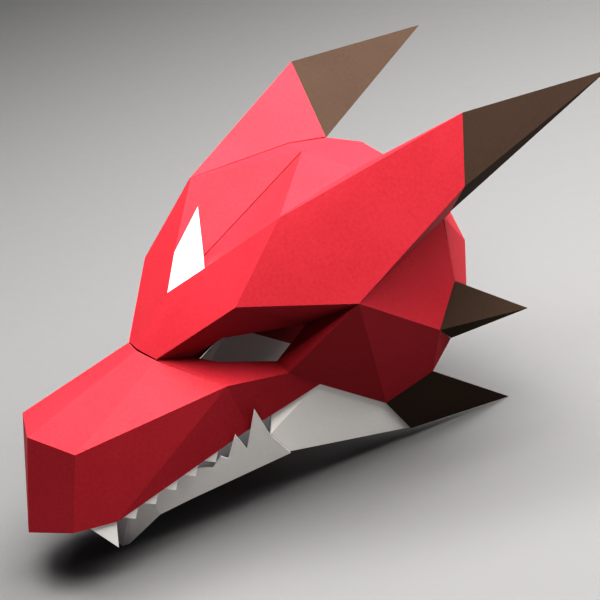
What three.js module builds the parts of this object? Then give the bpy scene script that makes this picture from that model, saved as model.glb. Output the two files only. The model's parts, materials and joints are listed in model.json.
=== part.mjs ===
import * as THREE from 'three';

// Dragon head mask of folded card, in millimetres, +Z up. The dragon faces -Y and its left is +X.
// Each corner where folds meet has a name and a place in shares of the sizes below. Panels that
// share a corner stay joined when a size changes. The first origin is the crown corner.

const cardThickness = 1.5;
const toothThickness = 1;
const pieceGap = 0.4;

const browHalfWidth = 95;
const foreheadLength = 150;
const foreheadDrop = 120;

const headHalfWidth = 105;
const headLength = 165;
const headHeight = 245;

const snoutHalfWidth = 62.5;
const snoutLength = 118;
const snoutDepth = 163;

const eyeSpread = 56;
const eyeLength = 75;
const eyeDrop = 68;

const hornSpread = 70.5;
const hornLength = 322.5;
const hornRise = 118.5;

const upperSpikeLength = 97.5;
const lowerSpikeLength = 102;

const jawHalfWidth = 82.2;
const jawLength = 175;
const jawDepth = 163;

const lipToothLength = 19;
const lipToothDrop = 12;
const lipToothPitch = 23.2;
const lipToothCount = 5;
const lipBandHeight = 5;
const lipBandInset = 5;
const lipToothLean = 0.57;
const frontToothLength = 26.5;
const frontToothDrop = 29;
const frontToothInset = 1;
const frontToothTipInset = 2;

const cardRed = new THREE.MeshStandardMaterial({ color: 0xc4142e, roughness: 0.75, metalness: 0 });
const cardBrown = new THREE.MeshStandardMaterial({ color: 0x3f2f25, roughness: 0.8, metalness: 0 });
const cardWhite = new THREE.MeshStandardMaterial({ color: 0xe9e6e1, roughness: 0.75, metalness: 0 });

// Each row is a corner on the left half or the middle, then its shares out, ahead and up.
// A table's shares of ahead and up start at its own first corner. Shares out start at the middle,
// or at that corner in a table with ownSide.
const cornerTables = [
  {
    from: 'crown',
    sizes: [browHalfWidth, foreheadLength, foreheadDrop],
    rows: [
      ['foreheadTip', 0, 1, -1.01],
      ['creaseEnd', 0, 0.735, -0.76],
      ['smallHornTip', 0, 0.77, -0.335],
      ['smallHornSide', 0.33, 0.84, -0.77],
      ['brow', 1, 0.85, -0.945],
      ['hornRoot', 0.94, 0.515, -0.3],
      ['bridge', 0, 1.227, -1.44],
      ['bridgeSide', 0.315, 1.19, -1.46],
    ],
  },
  {
    from: 'crown',
    sizes: [headHalfWidth, headLength, headHeight],
    rows: [
      ['hornHeel', 0.61, -0.13, -0.028],
      ['hornBack', 0.57, -0.39, -0.019],
      ['crownRear', 0, -0.42, 0.007],
      ['backTop', 0.43, -0.787, -0.169],
      ['backUpper', 0.475, -0.987, -0.414],
      ['backLower', 0.679, -0.913, -0.574],
      ['hornUnder', 1.242, -0.519, -0.177],
      ['seamTop', 1, -0.585, -0.235],
      ['seamFoot', 1, -0.68, -0.5],
      ['cheekRear', 1.17, -0.502, -0.666],
      ['spikeFoot', 0.99, -0.666, -0.741],
      ['napeSide', 0.933, -0.565, -0.878],
      ['cheekbone', 1.476, 0.19, -0.444],
      ['jawCorner', 0.82, -0.278, -0.995],
      ['lipRear', 0.895, 0.216, -0.84],
      ['lidRear', 0.905, 0.435, -0.766],
      ['spikeInside', 0.64, -0.49, -0.99],
      ['jawAngle', 0.733, -0.501, -1.147],
      ['tuckTop', 0.8779, 0.2001, -0.8234],
      ['tuckRear', 0.7136, -0.5068, -1.1454],
      ['tuckCorner', 0.8123, -0.3281, -0.9711],
    ],
  },
  {
    from: 'bridge',
    sizes: [snoutHalfWidth, snoutLength, snoutDepth],
    rows: [
      ['noseTop', 0, 0.978, -0.407],
      ['noseFoot', 0, 1.005, -1],
      ['noseSide', 1, 0.8, -0.409],
      ['noseCorner', 0.9, 0.82, -0.9],
      ['lipFront', 1.04, 0.464, -0.864],
      ['lipMiddle', 1.232, -0.674, -0.438],
      ['snoutSide', 1.403, -0.429, -0.116],
    ],
  },
  {
    from: 'brow',
    ownSide: true,
    sizes: [eyeSpread, eyeLength, eyeDrop],
    rows: [
      ['eyeFront', -1, 0.258, -0.906],
      ['eyeLowFront', -0.69, -0.048, -0.964],
      ['eyeLowRear', -0.33, -0.725, -0.994],
      ['eyeTopFront', -0.66, -0.084, -0.61],
      ['eyeTopRear', -0.196, -1.094, -0.485],
    ],
  },
  {
    from: 'hornRoot',
    ownSide: true,
    sizes: [hornSpread, hornLength, hornRise],
    rows: [
      ['hornTop', 0.936, -0.484, 0.789],
      ['hornOuter', 1.24, -0.452, 0.2506],
      ['hornEnd', 1, -1, 1],
    ],
  },
  {
    from: 'cheekRear',
    ownSide: true,
    sizes: [upperSpikeLength, upperSpikeLength, upperSpikeLength],
    rows: [['upperSpikeEnd', 0.12, -1, 0.1]],
  },
  {
    from: 'napeSide',
    ownSide: true,
    sizes: [lowerSpikeLength, lowerSpikeLength, lowerSpikeLength],
    rows: [['lowerSpikeEnd', -0.08, -1, -0.48]],
  },
  {
    from: 'lipMiddle',
    sizes: [jawHalfWidth, jawLength, jawDepth],
    rows: [
      ['fangRear', 1, -0.1216, -0.0575],
      ['fangEnd', 1.1225, 0.0124, 0.1575],
      ['fangFront', 0.919, 0.0064, -0.1285],
      ['toothEnd', 0.985, 0.0964, -0.0065],
      ['toothFront', 0.86, 0.1109, -0.1755],
      ['notchRear', 0.869, 0.1589, -0.1475],
      ['notchLow', 0.806, 0.1944, -0.2235],
      ['notchFront', 0.8, 0.2724, -0.2065],
      ['rimMiddle', 0.771, 0.3644, -0.2155],
      ['rimFront', 0.671, 0.5014, -0.3085],
      ['jawFold', 0.5775, 0.4949, -0.4415],
      ['jawFoldFoot', 0.5375, 0.4574, -0.5105],
      ['throatSide', 0.63, 0.2924, -0.4365],
      ['jawFoot', 0.924, -0.2686, -0.2125],
      ['chinTop', 0.475, 0.6204, -0.4035],
      ['chinSide', 0.225, 0.5804, -0.7315],
      ['chinPoint', 0.125, 0.6064, -0.7645],
      ['tuckFront', 0.956, -0.1386, 0.0885],
      ['tuckLow', 0.958, -0.1276, -0.056],
      ['tuckFoot', 0.885, -0.2721, -0.21],
    ],
  },
];

// A panel lists its corners anticlockwise, seen from outside. A piece's sides are folded on the
// left and mirrored, and its middle panels cross from one half to the other. A pair is two pieces.
const foldedPieces = [
  {
    name: 'snout',
    material: cardRed,
    sides: [
      ['noseTop', 'noseSide', 'bridgeSide', 'bridge'],
      ['noseSide', 'snoutSide', 'bridgeSide'],
      ['noseSide', 'noseCorner', 'lipFront'],
      ['noseSide', 'lipFront', 'snoutSide'],
      ['lipFront', 'lipMiddle', 'snoutSide'],
      ['snoutSide', 'lipMiddle', 'lipRear', 'lidRear'],
      ['noseTop', 'noseFoot', 'noseCorner', 'noseSide'],
    ],
  },
  {
    name: 'eye_surround',
    pair: true,
    material: cardRed,
    sides: [
      ['bridgeSide', 'snoutSide', 'lidRear', 'eyeLowRear', 'eyeLowFront', 'eyeFront'],
      ['eyeLowRear', 'lidRear', 'cheekbone', 'eyeTopRear'],
      ['bridgeSide', 'eyeFront', 'eyeTopFront', 'brow'],
      ['brow', 'eyeTopFront', 'eyeTopRear', 'cheekbone'],
    ],
  },
  {
    name: 'forehead',
    material: cardRed,
    sides: [
      ['bridge', 'bridgeSide', 'brow', 'hornRoot', 'smallHornSide', 'foreheadTip'],
      ['creaseEnd', 'smallHornSide', 'hornRoot', 'crown'],
    ],
  },
  {
    name: 'forehead_horn',
    material: cardWhite,
    sides: [
      ['foreheadTip', 'smallHornSide', 'smallHornTip'],
      ['smallHornSide', 'creaseEnd', 'smallHornTip'],
    ],
  },
  {
    name: 'crown',
    material: cardRed,
    sides: [
      ['crown', 'hornRoot', 'hornHeel'],
      ['crown', 'hornHeel', 'hornBack', 'crownRear'],
    ],
  },
  {
    name: 'head_back',
    material: cardRed,
    sides: [
      ['crownRear', 'hornBack', 'backTop'],
      ['seamTop', 'hornBack', 'hornUnder'],
      ['hornBack', 'seamTop', 'backTop'],
      ['seamTop', 'backUpper', 'backTop'],
      ['seamTop', 'seamFoot', 'backLower', 'backUpper'],
      ['seamFoot', 'spikeFoot', 'backLower'],
    ],
    middle: [
      ['crownRear', 'backTop', 'right backTop'],
      ['backTop', 'backUpper', 'right backUpper', 'right backTop'],
      ['backUpper', 'backLower', 'right backLower', 'right backUpper'],
    ],
  },
  {
    name: 'cheek',
    pair: true,
    material: cardRed,
    sides: [
      ['cheekbone', 'cheekRear', 'seamFoot', 'seamTop'],
      ['lidRear', 'lipRear', 'cheekbone'],
      ['cheekbone', 'lipRear', 'jawCorner'],
      ['cheekbone', 'jawCorner', 'cheekRear'],
      ['cheekRear', 'jawCorner', 'napeSide', 'spikeFoot'],
    ],
  },
  {
    name: 'horn',
    pair: true,
    material: cardRed,
    sides: [
      ['brow', 'cheekbone', 'hornOuter', 'hornTop', 'hornRoot'],
      ['cheekbone', 'seamTop', 'hornUnder', 'hornOuter'],
      ['hornRoot', 'hornTop', 'hornHeel'],
      ['hornTop', 'hornBack', 'hornHeel'],
    ],
  },
  {
    name: 'horn_tip',
    pair: true,
    material: cardBrown,
    sides: [
      ['hornTop', 'hornOuter', 'hornEnd'],
      ['hornOuter', 'hornUnder', 'hornEnd'],
      ['hornUnder', 'hornBack', 'hornEnd'],
      ['hornBack', 'hornTop', 'hornEnd'],
    ],
  },
  {
    name: 'upper_spike',
    pair: true,
    material: cardBrown,
    sides: [
      ['seamFoot', 'cheekRear', 'upperSpikeEnd'],
      ['cheekRear', 'spikeFoot', 'upperSpikeEnd'],
      ['spikeFoot', 'seamFoot', 'upperSpikeEnd'],
    ],
  },
  {
    name: 'lower_spike',
    pair: true,
    material: cardBrown,
    sides: [
      ['napeSide', 'jawCorner', 'lowerSpikeEnd'],
      ['jawCorner', 'jawAngle', 'lowerSpikeEnd'],
      ['jawAngle', 'spikeInside', 'lowerSpikeEnd'],
      ['spikeInside', 'napeSide', 'lowerSpikeEnd'],
    ],
  },
  {
    name: 'jaw_side',
    pair: true,
    material: cardWhite,
    sides: [
      [
        'jawFoldFoot', 'throatSide', 'jawFoot', 'fangRear', 'fangEnd', 'fangFront', 'toothEnd',
        'toothFront', 'notchRear', 'notchLow', 'notchFront', 'rimMiddle', 'rimFront', 'jawFold',
      ],
    ],
  },
  {
    name: 'jaw_rear',
    pair: true,
    material: cardWhite,
    sides: [
      ['tuckTop', 'tuckLow', 'tuckFoot', 'tuckRear', 'tuckCorner'],
      ['tuckFront', 'tuckLow', 'tuckTop'],
    ],
  },
  {
    name: 'chin',
    material: cardWhite,
    sides: [['chinTop', 'chinPoint', 'chinSide', 'jawFoldFoot', 'jawFold', 'rimFront']],
    middle: [['chinPoint', 'chinTop', 'right chinTop', 'right chinPoint']],
  },
  {
    name: 'jaw_floor',
    material: cardWhite,
    middle: [
      ['throatSide', 'jawFoldFoot', 'right jawFoldFoot', 'right throatSide'],
      ['jawFoldFoot', 'chinSide', 'right chinSide', 'right jawFoldFoot'],
      ['chinSide', 'chinPoint', 'right chinPoint', 'right chinSide'],
    ],
  },
];

function placeCorners() {
  const corners = { crown: new THREE.Vector3() };
  for (const table of cornerTables) {
    const start = corners[table.from];
    const [outSize, aheadSize, upSize] = table.sizes;
    const startOut = table.ownSide ? start.x : 0;
    for (const [name, out, ahead, up] of table.rows) {
      const corner = new THREE.Vector3(
        startOut + out * outSize,
        start.y - ahead * aheadSize,
        start.z + up * upSize,
      );
      corners[name] = corner;
      if (corner.x > 0) {
        corners[`right ${name}`] = new THREE.Vector3(-corner.x, corner.y, corner.z);
      }
    }
  }
  return corners;
}

function mirroredName(name, corners) {
  if (name.startsWith('right ')) {
    return name.slice('right '.length);
  }
  return corners[`right ${name}`] ? `right ${name}` : name;
}

function mirroredPanel(panel, corners) {
  return panel.map((name) => mirroredName(name, corners)).reverse();
}

// Newell's normal holds for a panel that is a little out of flat.
function panelNormal(panel, corners) {
  const normal = new THREE.Vector3();
  panel.forEach((name, index) => {
    const next = panel[(index + 1) % panel.length];
    normal.add(new THREE.Vector3().crossVectors(corners[name], corners[next]));
  });
  return normal.normalize();
}

function panelEdges(panel) {
  return panel.map((name, index) => [name, panel[(index + 1) % panel.length]]);
}

// The vector v that best fits every condition normal . v = value, weighted, and stays short.
function bestFit(conditions, shortness) {
  const sums = [shortness, 0, 0, 0, shortness, 0, 0, 0, shortness];
  const right = new THREE.Vector3();
  for (const { normal, value, weight } of conditions) {
    const n = normal.toArray();
    for (let row = 0; row < 3; row += 1) {
      for (let column = 0; column < 3; column += 1) {
        sums[row * 3 + column] += weight * n[row] * n[column];
      }
    }
    right.addScaledVector(normal, weight * value);
  }
  return right.applyMatrix3(new THREE.Matrix3().set(...sums).invert());
}

// Where the inner face of the card lies, for a corner that every panel round it shares.
function innerOffset(name, panels, corners) {
  const conditions = panels
    .filter((panel) => panel.includes(name))
    .map((panel) => ({ normal: panelNormal(panel, corners), value: -cardThickness, weight: 1 }));
  return bestFit(conditions, 0.01);
}

// Moves a piece's corner back by half the gap from each edge that it shares with another piece.
function gapShift(name, piecePanels, foreignEdges, offsets, corners) {
  const conditions = [];
  for (const panel of piecePanels) {
    if (!panel.includes(name)) {
      continue;
    }
    const normal = panelNormal(panel, corners);
    conditions.push({ normal, value: 0, weight: 4 });
    for (const [start, end] of panelEdges(panel)) {
      if ((start !== name && end !== name) || !foreignEdges.has(`${end}>${start}`)) {
        continue;
      }
      const along = new THREE.Vector3().subVectors(corners[end], corners[start]).normalize();
      const inward = new THREE.Vector3().crossVectors(normal, along);
      const across = new THREE.Vector3().addVectors(offsets[start], offsets[end]);
      const joint = new THREE.Vector3().crossVectors(along, across).normalize();
      if (joint.dot(inward) < 0) {
        joint.negate();
      }
      conditions.push({ normal: joint, value: pieceGap / 2, weight: 1 });
    }
  }
  return bestFit(conditions, 0.001);
}

function flatTriangles(panel, corners) {
  const normal = panelNormal(panel, corners);
  const across = new THREE.Vector3().subVectors(corners[panel[1]], corners[panel[0]]).normalize();
  const upward = new THREE.Vector3().crossVectors(normal, across);
  const outline = panel.map((name) => (
    new THREE.Vector2(corners[name].dot(across), corners[name].dot(upward))
  ));
  return THREE.ShapeUtils.triangulateShape(outline, []);
}

// Gives panels the card's thickness: an outer face, an inner face and an edge where they end.
function foldedGeometry(piecePanels, allPanels, corners) {
  const names = [...new Set(piecePanels.flat())];
  const ownEdges = new Set(piecePanels.flatMap(panelEdges).map(([a, b]) => `${a}>${b}`));
  const foreign = allPanels.filter((panel) => !piecePanels.includes(panel));
  const foreignEdges = new Set(foreign.flatMap(panelEdges).map(([a, b]) => `${a}>${b}`));
  const offsets = {};
  for (const name of names) {
    offsets[name] = innerOffset(name, allPanels, corners);
  }
  const positions = [];
  for (const name of names) {
    const shift = gapShift(name, piecePanels, foreignEdges, offsets, corners);
    const outer = corners[name].clone().add(shift);
    const inner = outer.clone().add(offsets[name]);
    positions.push(...outer.toArray(), ...inner.toArray());
  }
  const outerIndex = (name) => names.indexOf(name) * 2;
  const innerIndex = (name) => names.indexOf(name) * 2 + 1;
  const triangles = [];
  for (const panel of piecePanels) {
    for (const [a, b, c] of flatTriangles(panel, corners)) {
      triangles.push(outerIndex(panel[a]), outerIndex(panel[b]), outerIndex(panel[c]));
      triangles.push(innerIndex(panel[c]), innerIndex(panel[b]), innerIndex(panel[a]));
    }
    for (const [start, end] of panelEdges(panel)) {
      if (ownEdges.has(`${end}>${start}`)) {
        continue;
      }
      // The piece across the joint runs the other way, and both take the same diagonal.
      if (start < end) {
        triangles.push(outerIndex(end), outerIndex(start), innerIndex(start));
        triangles.push(outerIndex(end), innerIndex(start), innerIndex(end));
      } else {
        triangles.push(outerIndex(end), outerIndex(start), innerIndex(end));
        triangles.push(outerIndex(start), innerIndex(start), innerIndex(end));
      }
    }
  }
  const geometry = new THREE.BufferGeometry();
  geometry.setAttribute('position', new THREE.Float32BufferAttribute(positions, 3));
  geometry.setIndex(triangles);
  return geometry;
}

// A flat sheet behind a panel, drawn along the panel's first edge with y up the panel.
function sheetBehind(panel, points, corners) {
  const along = new THREE.Vector3().subVectors(corners[panel[1]], corners[panel[0]]).normalize();
  const outward = panelNormal(panel, corners);
  const upward = new THREE.Vector3().crossVectors(outward, along);
  const shape = new THREE.Shape(points.map(([x, y]) => new THREE.Vector2(x, y)));
  const depth = toothThickness;
  const geometry = new THREE.ExtrudeGeometry(shape, { depth, bevelEnabled: false });
  const back = corners[panel[0]].clone().addScaledVector(outward, -cardThickness - pieceGap - depth);
  return geometry.applyMatrix4(new THREE.Matrix4().makeBasis(along, upward, outward).setPosition(back));
}

// Five teeth that lean back, hanging from a band along the upper lip.
function upperTeethGeometry(corners) {
  const start = lipBandInset;
  const points = [[start + lipBandHeight, lipBandHeight], [start, 0]];
  for (let tooth = 0; tooth < lipToothCount; tooth += 1) {
    const front = start + tooth * lipToothPitch;
    points.push([front + lipToothLength * lipToothLean, -lipToothDrop]);
    points.push([front + lipToothLength, 0]);
    if (tooth < lipToothCount - 1) {
      points.push([front + lipToothPitch, 0]);
    }
  }
  points.push([start + (lipToothCount - 1) * lipToothPitch + lipToothLength, lipBandHeight]);
  return sheetBehind(['lipFront', 'lipMiddle', 'snoutSide'], points, corners);
}

function frontToothGeometry(corners) {
  const edgeLength = corners.noseCorner.distanceTo(corners.lipFront);
  const rear = edgeLength - frontToothInset;
  const front = rear - frontToothLength;
  const points = [
    [front, lipBandHeight],
    [front, 0],
    [rear - frontToothTipInset, -frontToothDrop],
    [rear, 0],
    [rear, lipBandHeight],
  ];
  return sheetBehind(['noseCorner', 'lipFront', 'noseSide'], points, corners);
}

function mirroredGeometry(geometry) {
  const mirrored = geometry.index ? geometry.toNonIndexed() : geometry.clone();
  const position = mirrored.getAttribute('position');
  const corner = new THREE.Vector3();
  const points = [];
  for (let index = 0; index < position.count; index += 1) {
    corner.fromBufferAttribute(position, index);
    points.push([-corner.x, corner.y, corner.z]);
  }
  const turned = [];
  for (let index = 0; index < points.length; index += 3) {
    turned.push(...points[index], ...points[index + 2], ...points[index + 1]);
  }
  const result = new THREE.BufferGeometry();
  result.setAttribute('position', new THREE.Float32BufferAttribute(turned, 3));
  return result;
}

function addMesh(group, name, geometry, material) {
  const mesh = new THREE.Mesh(geometry, material);
  mesh.name = name;
  group.add(mesh);
}

function addPair(group, name, geometry, material) {
  addMesh(group, `${name}_left`, geometry, material);
  addMesh(group, `${name}_right`, mirroredGeometry(geometry), material);
}

function buildMask() {
  const corners = placeCorners();
  const leftPanels = foldedPieces.flatMap((piece) => piece.sides ?? []);
  const rightPanels = leftPanels.map((panel) => mirroredPanel(panel, corners));
  const middlePanels = foldedPieces.flatMap((piece) => piece.middle ?? []);
  const allPanels = [...leftPanels, ...rightPanels, ...middlePanels];
  const mask = new THREE.Group();
  for (const piece of foldedPieces) {
    const left = piece.sides ?? [];
    if (piece.pair) {
      addPair(mask, piece.name, foldedGeometry(left, allPanels, corners), piece.material);
      continue;
    }
    const right = rightPanels.filter((panel, index) => left.includes(leftPanels[index]));
    const panels = [...left, ...right, ...(piece.middle ?? [])];
    addMesh(mask, piece.name, foldedGeometry(panels, allPanels, corners), piece.material);
  }
  addPair(mask, 'upper_teeth', upperTeethGeometry(corners), cardWhite);
  addPair(mask, 'front_tooth', frontToothGeometry(corners), cardWhite);

  // It rests on the chin's point and the ends of the two lower spikes.
  const chin = corners.chinPoint;
  const spike = corners.lowerSpikeEnd;
  mask.rotation.x = -Math.atan2(spike.z - chin.z, spike.y - chin.y);
  return mask;
}

// Stands the mask on z = 0 with the origin under the middle of its bounding box.
function standOnFloor(mask) {
  mask.updateMatrixWorld(true);
  const box = new THREE.Box3().setFromObject(mask, true);
  const middle = box.getCenter(new THREE.Vector3());
  mask.position.set(-middle.x, -middle.y, -box.min.z);
  const stand = new THREE.Group();
  stand.add(mask);
  return stand;
}

export default standOnFloor(buildMask());
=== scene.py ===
import json
from math import radians

import bmesh
import bpy
from mathutils import Matrix, Vector
from mathutils.kdtree import KDTree


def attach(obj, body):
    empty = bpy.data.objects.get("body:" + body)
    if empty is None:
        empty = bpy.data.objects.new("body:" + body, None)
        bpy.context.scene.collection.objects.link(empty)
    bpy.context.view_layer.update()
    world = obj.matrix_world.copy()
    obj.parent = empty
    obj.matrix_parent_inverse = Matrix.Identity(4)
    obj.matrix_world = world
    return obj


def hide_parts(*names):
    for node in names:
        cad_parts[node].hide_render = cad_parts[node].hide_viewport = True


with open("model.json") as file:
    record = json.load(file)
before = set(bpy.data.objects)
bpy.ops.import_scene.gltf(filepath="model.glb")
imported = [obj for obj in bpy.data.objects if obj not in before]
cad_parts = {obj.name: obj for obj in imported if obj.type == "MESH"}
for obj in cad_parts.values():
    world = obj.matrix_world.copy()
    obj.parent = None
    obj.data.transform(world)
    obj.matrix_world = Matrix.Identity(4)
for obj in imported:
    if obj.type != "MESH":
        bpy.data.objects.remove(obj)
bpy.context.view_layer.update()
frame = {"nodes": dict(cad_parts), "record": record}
millimetre = 0.001
print("frame loaded:", len(frame["nodes"]), "card pieces")


class Wire:  # an output socket; an operator on it adds a Math node
    def __init__(self, sheet, socket):
        self.sheet = sheet
        self.socket = socket

    def join(self, operation, first, second):
        return self.sheet.node("ShaderNodeMath", {"operation": operation}, {0: first, 1: second})

    def __add__(self, other):
        return self.join("ADD", self, other)

    __radd__ = __add__

    def __sub__(self, other):
        return self.join("SUBTRACT", self, other)

    def __rsub__(self, other):
        return self.join("SUBTRACT", other, self)

    def __mul__(self, other):
        return self.join("MULTIPLY", self, other)

    __rmul__ = __mul__


class MaterialSheet:  # one material and the nodes laid out on it
    def __init__(self, name):
        self.material = bpy.data.materials.new(name)
        self.material.use_nodes = True
        self.tree = self.material.node_tree
        self.tree.nodes.clear()

    def feed(self, socket, value):
        if isinstance(value, Wire):
            self.tree.links.new(value.socket, socket)
        else:
            socket.default_value = value

    def node(self, kind, settings=None, sockets=None, output=0):
        made = self.tree.nodes.new(kind)
        for key, value in (settings or {}).items():
            if key == "stops":
                for element, (place, tone) in zip(made.color_ramp.elements, value):
                    element.position = place
                    element.color = (tone, tone, tone, 1)
            else:
                setattr(made, key, value)
        for key, value in (sockets or {}).items():
            self.feed(made.inputs[key], value)
        return Wire(self, made.outputs[output]) if len(made.outputs) else None

    def place(self):
        return self.node("ShaderNodeTexCoord", output="Object")

    # a Mix node takes its two colours at inputs 6 and 7 and gives theirs at output 2
    def mix(self, factor, first, second):
        return self.node("ShaderNodeMix", {"data_type": "RGBA"}, {0: factor, 6: first, 7: second}, 2)

    def noise(self, place, scale, detail, roughness):
        return self.node("ShaderNodeTexNoise", {"normalize": True},
                         {"Vector": place, "Scale": scale, "Detail": detail, "Roughness": roughness})

    def spread(self, value, low, high):  # 0 at low, 1 at high
        return self.node("ShaderNodeValToRGB", {"stops": [(low, 0), (high, 1)]}, {0: value})

    def attribute(self, name):
        return self.node("ShaderNodeAttribute", {"attribute_name": name}, output="Fac")

    def surface(self, sockets):
        shader = self.node("ShaderNodeBsdfPrincipled", {}, sockets)
        self.node("ShaderNodeOutputMaterial", {}, {"Surface": shader})


# wornColour is for crisp folds, the crease colour is painted shade that darkens open ones, and
# coreColour is for cut edges
redCard = {
    "colour": (0.345, 0.026, 0.039, 1),
    "deepColour": (0.305, 0.020, 0.030, 1),
    "wornColour": (0.40, 0.035, 0.050, 1),
    "creaseShadeColour": (0.10, 0.002, 0.007, 1),
    "coreColour": (0.45, 0.07, 0.09, 1),
    "roughness": 0.6,
    "gloss": 0.12,
    "sheen": 0.01,
    "grainDepth": 0.10 * millimetre,
}
brownCard = {
    "colour": (0.047, 0.030, 0.0215, 1),
    "deepColour": (0.041, 0.026, 0.0185, 1),
    "wornColour": (0.075, 0.05, 0.036, 1),
    "creaseShadeColour": (0.02, 0.012, 0.008, 1),
    "coreColour": (0.09, 0.058, 0.04, 1),
    "roughness": 0.7,
    "gloss": 0.06,
    "sheen": 0.0,
    "grainDepth": 0.10 * millimetre,
}
whiteCard = {
    "colour": (0.79, 0.765, 0.74, 1),
    "deepColour": (0.765, 0.74, 0.715, 1),
    "wornColour": (0.82, 0.81, 0.80, 1),
    "creaseShadeColour": (0.45, 0.43, 0.41, 1),
    "coreColour": (0.80, 0.79, 0.78, 1),
    "roughness": 0.6,
    "gloss": 0.15,
    "sheen": 0.02,
    "grainDepth": 0.07 * millimetre,
}
cardGrain = {
    # scale, detail and roughness of each noise
    "tooth": (850, 3, 0.65),  # a little over a millimetre from grain to grain
    "fibre": (260, 4, 0.6),
    "mottle": (330, 3, 0.6),
    "cloud": (14, 3, 0.5),
    "patch": (190, 2, 0.5),
    "wave": (9, 1, 0.5),
    "fibreStretch": 5,  # times as long as wide
    "cloudShare": 0.35,  # of the tone; the mottle makes up the rest
    "toneRange": (0.36, 0.6),  # tones that take the deep and the plain colour
    "patchRange": (0.3, 0.7),
    "wornShare": 0.08,  # strength of the worn colour on a fold
    # how strongly painted shade darkens an open fold
    "creaseShadeShare": 0.95,
    "toothShare": 0.6,  # of the relief; the fibres make up the rest
    "reliefStrength": 0.7,
    "waveDepth": 1.0 * millimetre,
    "waveStrength": 1.0,
    "toothRoughness": 0.14,  # how far the tooth varies the roughness
    "foldRoughness": 0.06,  # and what a fold adds to it
    "sheenRoughness": 0.45,
}
noiseMiddle = 0.5


def cardMaterial(name, look, grain=cardGrain):
    sheet = MaterialSheet(name)
    place = sheet.place()
    stretched = sheet.node("ShaderNodeMapping", {},
                           {"Vector": place, "Scale": (1, 1 / grain["fibreStretch"], 1)})
    tooth = sheet.noise(place, *grain["tooth"])
    fibre = sheet.noise(stretched, *grain["fibre"])
    mottle = sheet.noise(place, *grain["mottle"])
    cloud = sheet.noise(place, *grain["cloud"])
    patch = sheet.noise(place, *grain["patch"])
    fold = sheet.attribute("crispFold")
    crease = sheet.attribute("openFold")
    cut = sheet.attribute("cutEdge")

    tone = cloud * grain["cloudShare"] + mottle * (1 - grain["cloudShare"])
    body = sheet.mix(sheet.spread(tone, *grain["toneRange"]), look["deepColour"], look["colour"])
    wear = fold * sheet.spread(patch, *grain["patchRange"]) * grain["wornShare"]
    worn = sheet.mix(wear, body, look["wornColour"])
    # an open fold is painted dark, standing in for the shade that would fall in its groove
    creaseShaded = sheet.mix(crease * grain["creaseShadeShare"], worn, look["creaseShadeColour"])
    finished = sheet.mix(cut, creaseShaded, look["coreColour"])

    wave = sheet.node("ShaderNodeBump", {}, {
        "Height": sheet.noise(place, *grain["wave"]),
        "Distance": grain["waveDepth"],
        "Strength": grain["waveStrength"],
    })
    relief = sheet.node("ShaderNodeBump", {}, {
        "Height": tooth * grain["toothShare"] + fibre * (1 - grain["toothShare"]) + cut * patch,
        "Distance": look["grainDepth"],
        "Strength": grain["reliefStrength"],
        "Normal": wave,
    })
    toothShine = (tooth - noiseMiddle) * grain["toothRoughness"]
    sheet.surface({
        "Base Color": finished,
        "Roughness": look["roughness"] + toothShine + fold * grain["foldRoughness"],
        "Specular IOR Level": look["gloss"],
        "Sheen Weight": look["sheen"],
        "Sheen Roughness": grain["sheenRoughness"],
        "Normal": relief,
    })
    return sheet.material


cardMaterials = {
    "card_red": cardMaterial("redCard", redCard),
    "card_brown": cardMaterial("brownCard", brownCard),
    "card_white": cardMaterial("whiteCard", whiteCard),
}
print("card materials made")


cardSeams = {
    "mergeWithin": 0.02 * millimetre,
    "reach": 1.0 * millimetre,  # corners of two pieces that are this close meet in a seam
    "left": 0.15,  # share of a glued seam's gap that stays open
    "stepBack": 1.4,  # times its gap, by which each side of a shown seam stands back
    "shown": (
        {"snout", "forehead"},
        {"cheek", "head_back"},
        {"crown", "horn"},
        {"horn", "head_back"},
    ),
    "looseSheets": ("upper_teeth", "front_tooth", "jaw_rear"),  # these take no part in the seams
}


def mergedShell(nodeObject):
    shell = bmesh.new()
    shell.from_mesh(nodeObject.data)
    bmesh.ops.remove_doubles(shell, verts=shell.verts, dist=cardSeams["mergeWithin"])
    return shell


def cornerTrees():
    trees = {}
    for name, nodeObject in frame["nodes"].items():
        if name.startswith(cardSeams["looseSheets"]):
            continue
        shell = mergedShell(nodeObject)
        tree = KDTree(len(shell.verts))
        for index, corner in enumerate(shell.verts):
            tree.insert(corner.co, index)
        tree.balance()
        trees[name] = tree
        shell.free()
    return trees


seamCorners = cornerTrees()


def plainName(name):
    return name.removesuffix("_left").removesuffix("_right")


def fitSeams(shell, name):
    for corner in shell.verts:
        met = [corner.co.copy()]
        apart = Vector()
        for other, tree in seamCorners.items():
            place, _, distance = tree.find(corner.co)
            if other == name or distance > cardSeams["reach"]:
                continue
            if {plainName(name), plainName(other)} in cardSeams["shown"]:
                apart += (corner.co - place) * cardSeams["stepBack"]
            else:
                met.append(place)
        middle = sum(met, Vector()) / len(met)
        corner.co = middle.lerp(corner.co, cardSeams["left"]) + apart


foldedCard = {
    "flatWithin": 1.2,  # degrees; triangles that differ by less join into one flat panel
    "foldFrom": 7.5,  # degrees; a smaller angle gets no crease
    "softUnder": 6.6,  # degrees; below this the card only bends, and is shaded smooth
    "foldWidth": 0.08 * millimetre,  # half the width of a crisp fold
    "openWidth": 1.1 * millimetre,  # and of an inward fold, darkened with painted shade so that it shows as a dark line
    "openFolds": ("forehead",),
    "creaseSegments": 2,
    "edgeWidth": 3.0 * millimetre,  # a face narrower than this is a cut edge of the card
}
foldMarks = ("crispFold", "openFold")  # with cutEdge, the face values that the materials read


def isPanel(face):
    width = 2 * face.calc_area() / face.calc_perimeter()  # true of a long strip
    return width > foldedCard["edgeWidth"]


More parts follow.
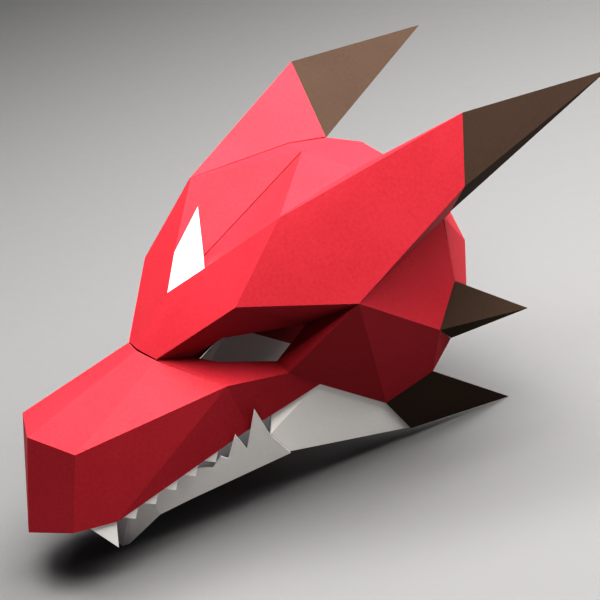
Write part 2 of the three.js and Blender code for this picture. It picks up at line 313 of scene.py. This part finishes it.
# the number in calc_face_angle is the answer for an edge that lacks a face on one side
def creaseFolds(shell, mark, width, inwardOnly):
    shell.normal_update()
    folds = [edge for edge in shell.edges
             if all(isPanel(face) for face in edge.link_faces)
             and edge.calc_face_angle(0) > radians(foldedCard["foldFrom"])
             and not (inwardOnly and edge.is_convex)]
    if folds:
        # clamping would narrow an open fold, so it is left out there
        made = bmesh.ops.bevel(shell, geom=folds, offset=width, offset_type="OFFSET",
                               segments=foldedCard["creaseSegments"], profile=0.5,
                               affect="EDGES", material=-1, clamp_overlap=not inwardOnly)
        layer = shell.faces.layers.float[mark]
        for face in made["faces"]:
            face[layer] = 1.0


def markEdges(shell):
    cut = shell.faces.layers.float["cutEdge"]
    creases = [shell.faces.layers.float[mark] for mark in foldMarks]
    for face in shell.faces:
        face.smooth = True
        if not isPanel(face) and not any(face[layer] for layer in creases):
            face[cut] = 1.0
    for edge in shell.edges:
        edge.smooth = (all(isPanel(face) for face in edge.link_faces)
                       and edge.calc_face_angle(1) < radians(foldedCard["softUnder"]))


cardSlots = {part["node"]: part["material_slot"] for part in frame["record"]["subparts"]}


def dressCard(name):
    shell = mergedShell(frame["nodes"][name])
    bmesh.ops.dissolve_limit(shell, angle_limit=radians(foldedCard["flatWithin"]),
                             verts=shell.verts, edges=shell.edges)
    if not name.startswith(cardSeams["looseSheets"]):
        fitSeams(shell, name)
    for mark in (*foldMarks, "cutEdge"):
        shell.faces.layers.float.new(mark)
    if name in foldedCard["openFolds"]:
        creaseFolds(shell, "openFold", foldedCard["openWidth"], True)
    creaseFolds(shell, "crispFold", foldedCard["foldWidth"], False)
    markEdges(shell)
    mesh = bpy.data.meshes.new(name + "_card")
    shell.to_mesh(mesh)
    shell.free()
    piece = bpy.data.objects.new(name + "_card", mesh)
    bpy.context.scene.collection.objects.link(piece)
    slotName = cardSlots[name]
    mesh.materials.append(cardMaterials[slotName])
    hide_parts(name)
    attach(piece, "root")


for nodeName in sorted(frame["nodes"]):
    dressCard(nodeName)
print("card pieces dressed")


floorLook = {
    "reach": 14,  # metres from the middle to each edge
    "colour": (0.13, 0.13, 0.131, 1),
    "roughness": 0.7,
    "gloss": 0.2,
    "cloud": (60, 2, 0.5),  # scale, detail and roughness of its noise
    "cloudRoughness": 0.1,
}


def makeFloor():
    plane = bmesh.new()
    bmesh.ops.create_grid(plane, x_segments=1, y_segments=1, size=floorLook["reach"])
    mesh = bpy.data.meshes.new("floor")
    plane.to_mesh(mesh)
    plane.free()
    floor = bpy.data.objects.new("floor", mesh)
    bpy.context.scene.collection.objects.link(floor)
    sheet = MaterialSheet("paleFloor")
    cloud = sheet.noise(sheet.place(), *floorLook["cloud"])
    sheet.surface({
        "Base Color": floorLook["colour"],
        "Roughness": floorLook["roughness"] + cloud * floorLook["cloudRoughness"],
        "Specular IOR Level": floorLook["gloss"],
    })
    mesh.materials.append(sheet.material)


studio = {
    "worldColour": (0.80, 0.82, 0.86, 1),
    "worldStrength": 0.13,
    "aim": (0, 0, 0.16),  # middle of the mask, in metres; the lamps are placed from it and face it
}
lamps = {
    "overheadBox": {"offset": (0.2, 0.42, 1.9), "size": 2.3, "power": 172, "colour": (1, 0.985, 0.96)},
    "farBox": {"offset": (-0.9, -0.3, 1.8), "size": 0.9, "power": 20, "colour": (1, 0.98, 0.96)},
    "rearBox": {"offset": (0.75, 1.8, 1.1), "size": 1.1, "power": 40, "colour": (1, 0.98, 0.96)},
}


def makeLamps():
    for name, box in lamps.items():
        light = bpy.data.lights.new(name, "AREA")
        light.size = box["size"]
        light.energy = box["power"]
        light.color = box["colour"]
        offset = Vector(box["offset"])
        lamp = bpy.data.objects.new(name, light)
        lamp.location = Vector(studio["aim"]) + offset
        lamp.rotation_mode = "QUATERNION"
        lamp.rotation_quaternion = (-offset).to_track_quat("-Z", "Y")
        bpy.context.scene.collection.objects.link(lamp)


def makeWorld():
    world = bpy.data.worlds.new("studio")
    world.use_nodes = True
    background = world.node_tree.nodes["Background"]
    background.inputs["Color"].default_value = studio["worldColour"]
    background.inputs["Strength"].default_value = studio["worldStrength"]
    bpy.context.scene.world = world


# the view is given for the level mask, in metres, and tips with it as its nose is raised
viewPoint = {
    "restPitch": 14.47,  # degrees that the nose is raised by as the mask rests
    "crown": (0, 0.0594, 0.3045),  # the corner between forehead and crown, as the mask rests
    "fromCrown": (1.4793, -0.8798, 0.3923),
    "right": (0.5102, 0.8601, 0),
    "up": (-0.2596, 0.1540, 0.9534),
    "lens": 108,
    "sensor": 36,
}


def makeCamera():
    tilt = Matrix.Rotation(-radians(viewPoint["restPitch"]), 3, "X")
    right = (tilt @ Vector(viewPoint["right"])).normalized()
    back = right.cross(tilt @ Vector(viewPoint["up"])).normalized()
    up = back.cross(right)
    eye = Vector(viewPoint["crown"]) + tilt @ Vector(viewPoint["fromCrown"])
    data = bpy.data.cameras.new("camera")
    data.lens = viewPoint["lens"]
    data.sensor_width = viewPoint["sensor"]
    camera = bpy.data.objects.new("camera", data)
    camera.matrix_world = Matrix.Translation(eye) @ Matrix((right, up, back)).transposed().to_4x4()
    bpy.context.scene.collection.objects.link(camera)
    bpy.context.scene.camera = camera


makeFloor()
makeLamps()
makeWorld()
makeCamera()
bpy.context.scene.view_settings.view_transform = "Standard"
bpy.context.scene.view_settings.look = "High Contrast"
print("stage made")
